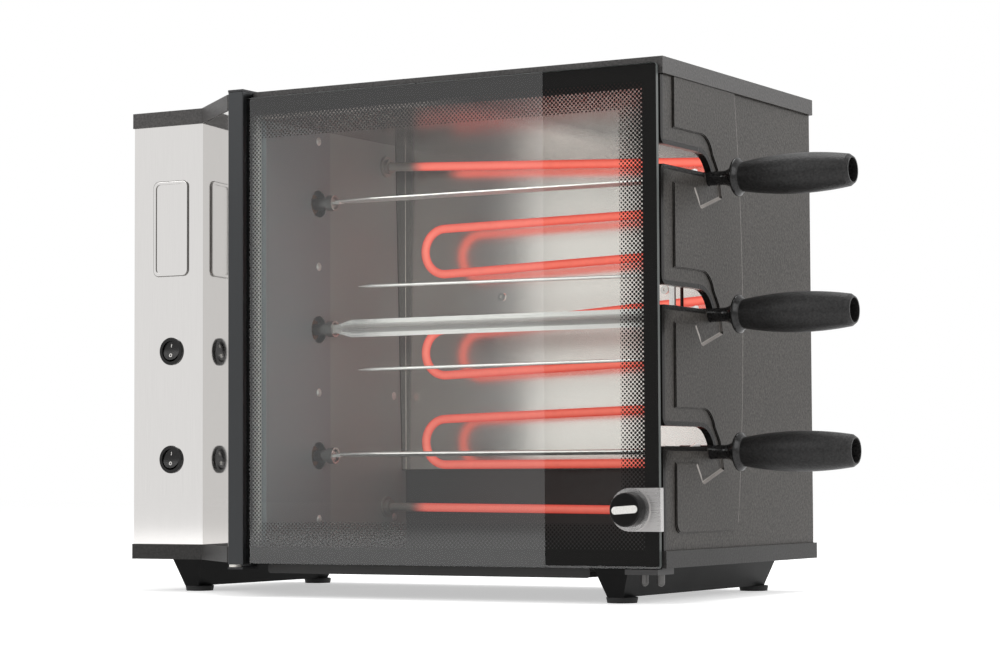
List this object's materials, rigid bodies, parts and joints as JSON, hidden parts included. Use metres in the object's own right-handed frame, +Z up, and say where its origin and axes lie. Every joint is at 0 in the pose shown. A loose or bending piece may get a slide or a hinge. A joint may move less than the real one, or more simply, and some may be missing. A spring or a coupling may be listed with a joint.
{
  "type": "electric skewer grill",
  "caption": "Upright electric grill with a glass door that turns skewers side by side in front of a heating element over a drip tray.",
  "frame": {"origin": "middle of the whole grill's box, on the surface that it stands on", "axes": "+X to the handle side, +Y to the back, +Z up"},
  "size_m": [0.716, 0.3368, 0.452],
  "materials": {
    "dark_painted_steel": "satin powder coat",
    "black_painted_steel": "matt heat-proof enamel",
    "brushed_stainless": "brushed",
    "polished_steel": "polished",
    "zinc_plated_steel": "zinc plated",
    "glowing_sheath": "hot metal sheath",
    "door_glass": "clear toughened with black frit border",
    "black_anodised": "satin anodised",
    "handle_plastic": "fine grained",
    "black_plastic": "moulded",
    "white_nylon": "moulded",
    "gear_plastic": "moulded acetal",
    "bush_bronze": "sintered",
    "foot_rubber": "moulded",
    "ceramic": "fired ceramic"
  },
  "bodies": {
    "housing": {"top_cover": "dark_painted_steel", "base_pan": "dark_painted_steel", "right_side_panel": "dark_painted_steel", "left_side_panel": "dark_painted_steel", "back_panel": "dark_painted_steel", "control_panel": "brushed_stainless", "left_inner_wall": "brushed_stainless", "chamber_back": "black_painted_steel", "back_reflector": "polished_steel", "ceiling_liner": "brushed_stainless", "skewer_rest": "polished_steel", "heating_element": "glowing_sheath", "element_bushings": "polished_steel", "element_support": "brushed_stainless", "wall_screws": "zinc_plated_steel", "reflector_rivets": "polished_steel", "cover_screws": "zinc_plated_steel", "foot_rail_right": "black_painted_steel", "foot_rail_left": "black_painted_steel", "foot_pads": "foot_rubber", "tray_runners": "zinc_plated_steel", "top_hinge_plate": "zinc_plated_steel", "bottom_hinge_plate": "zinc_plated_steel", "hinge_washer": "white_nylon", "door_catch": "black_plastic", "catch_studs": "polished_steel", "gear_plates": "zinc_plated_steel", "gear_posts": "zinc_plated_steel", "spindle_bushes": "bush_bronze", "idler_axles": "zinc_plated_steel", "gearmotor": "zinc_plated_steel", "terminal_block": "ceramic", "cable_gland": "black_plastic", "switch_housings": "black_plastic"},
    "door": {"door_glass": "door_glass", "door_stile": "black_anodised", "stile_caps": "black_plastic", "knob_bracket": "brushed_stainless", "knob_disc": "polished_steel", "door_knob": "handle_plastic", "knob_screw": "zinc_plated_steel"},
    "tray": {"drip_tray": "black_painted_steel"},
    "rocker_lower": {"rocker_lower": "black_plastic"},
    "rocker_upper": {"rocker_upper": "black_plastic"},
    "idler_1": {"idler_gear_1": "gear_plastic"},
    "idler_2": {"idler_gear_2": "gear_plastic"},
    "pinion": {"motor_pinion": "zinc_plated_steel"},
    "spindle_1": {"drive_socket_1": "polished_steel", "spindle_gear_1": "gear_plastic"},
    "skewer_1": {"skewer_handle_1": "handle_plastic", "skewer_blade_1": "brushed_stainless"},
    "spindle_2": {"drive_socket_2": "polished_steel", "spindle_gear_2": "gear_plastic"},
    "skewer_2": {"skewer_handle_2": "handle_plastic", "skewer_blade_2": "brushed_stainless", "skewer_prongs": "brushed_stainless"},
    "spindle_3": {"drive_socket_3": "polished_steel", "spindle_gear_3": "gear_plastic"},
    "skewer_3": {"skewer_handle_3": "handle_plastic", "skewer_blade_3": "brushed_stainless"}
  },
  "joints": [
    {"name": "door_hinge", "type": "hinge", "parent": "housing", "child": "door", "pos_m": [-0.1925, -0.1571, 0.03], "axis": [0, 0, -1], "range_deg": [0, 110]},
    {"name": "tray_slide", "type": "slide", "parent": "housing", "child": "tray", "axis": [0, -1, 0], "range_m": [0, 0.2]},
    {"name": "rocker_lower_tilt", "type": "hinge", "parent": "housing", "child": "rocker_lower", "pos_m": [-0.3132, -0.0862, 0.1228], "axis": [1, 0, 0], "range_deg": [0, 18]},
    {"name": "rocker_upper_tilt", "type": "hinge", "parent": "housing", "child": "rocker_upper", "pos_m": [-0.3132, -0.0862, 0.2238], "axis": [1, 0, 0], "range_deg": [0, 18]},
    {"name": "spindle_1_spin", "type": "hinge", "parent": "housing", "child": "spindle_1", "pos_m": [-0.19, -0.0564, 0.1252], "axis": [1, 0, 0], "continuous": true},
    {"name": "skewer_1_pull", "type": "slide", "parent": "spindle_1", "child": "skewer_1", "axis": [1, 0, 0], "range_m": [0, 0.02]},
    {"name": "spindle_2_spin", "type": "hinge", "parent": "housing", "child": "spindle_2", "pos_m": [-0.19, -0.0564, 0.2412], "axis": [1, 0, 0], "continuous": true},
    {"name": "skewer_2_pull", "type": "slide", "parent": "spindle_2", "child": "skewer_2", "axis": [1, 0, 0], "range_m": [0, 0.02]},
    {"name": "spindle_3_spin", "type": "hinge", "parent": "housing", "child": "spindle_3", "pos_m": [-0.19, -0.0564, 0.3572], "axis": [1, 0, 0], "continuous": true},
    {"name": "skewer_3_pull", "type": "slide", "parent": "spindle_3", "child": "skewer_3", "axis": [1, 0, 0], "range_m": [0, 0.02]},
    {"name": "idler_1_spin", "type": "hinge", "parent": "housing", "child": "idler_1", "pos_m": [-0.19, -0.0564, 0.1832], "axis": [1, 0, 0], "continuous": true},
    {"name": "idler_2_spin", "type": "hinge", "parent": "housing", "child": "idler_2", "pos_m": [-0.19, -0.0564, 0.2992], "axis": [1, 0, 0], "continuous": true},
    {"name": "pinion_spin", "type": "hinge", "parent": "housing", "child": "pinion", "pos_m": [-0.19, -0.0134, 0.2412], "axis": [1, 0, 0], "continuous": true}
  ],
  "couplings": [
    {"joint": "spindle_1_spin", "follows": "spindle_2_spin", "ratio": 1},
    {"joint": "spindle_3_spin", "follows": "spindle_2_spin", "ratio": 1},
    {"joint": "idler_1_spin", "follows": "spindle_2_spin", "ratio": -1},
    {"joint": "idler_2_spin", "follows": "spindle_2_spin", "ratio": -1},
    {"joint": "pinion_spin", "follows": "spindle_2_spin", "ratio": -2.0714}
  ]
}
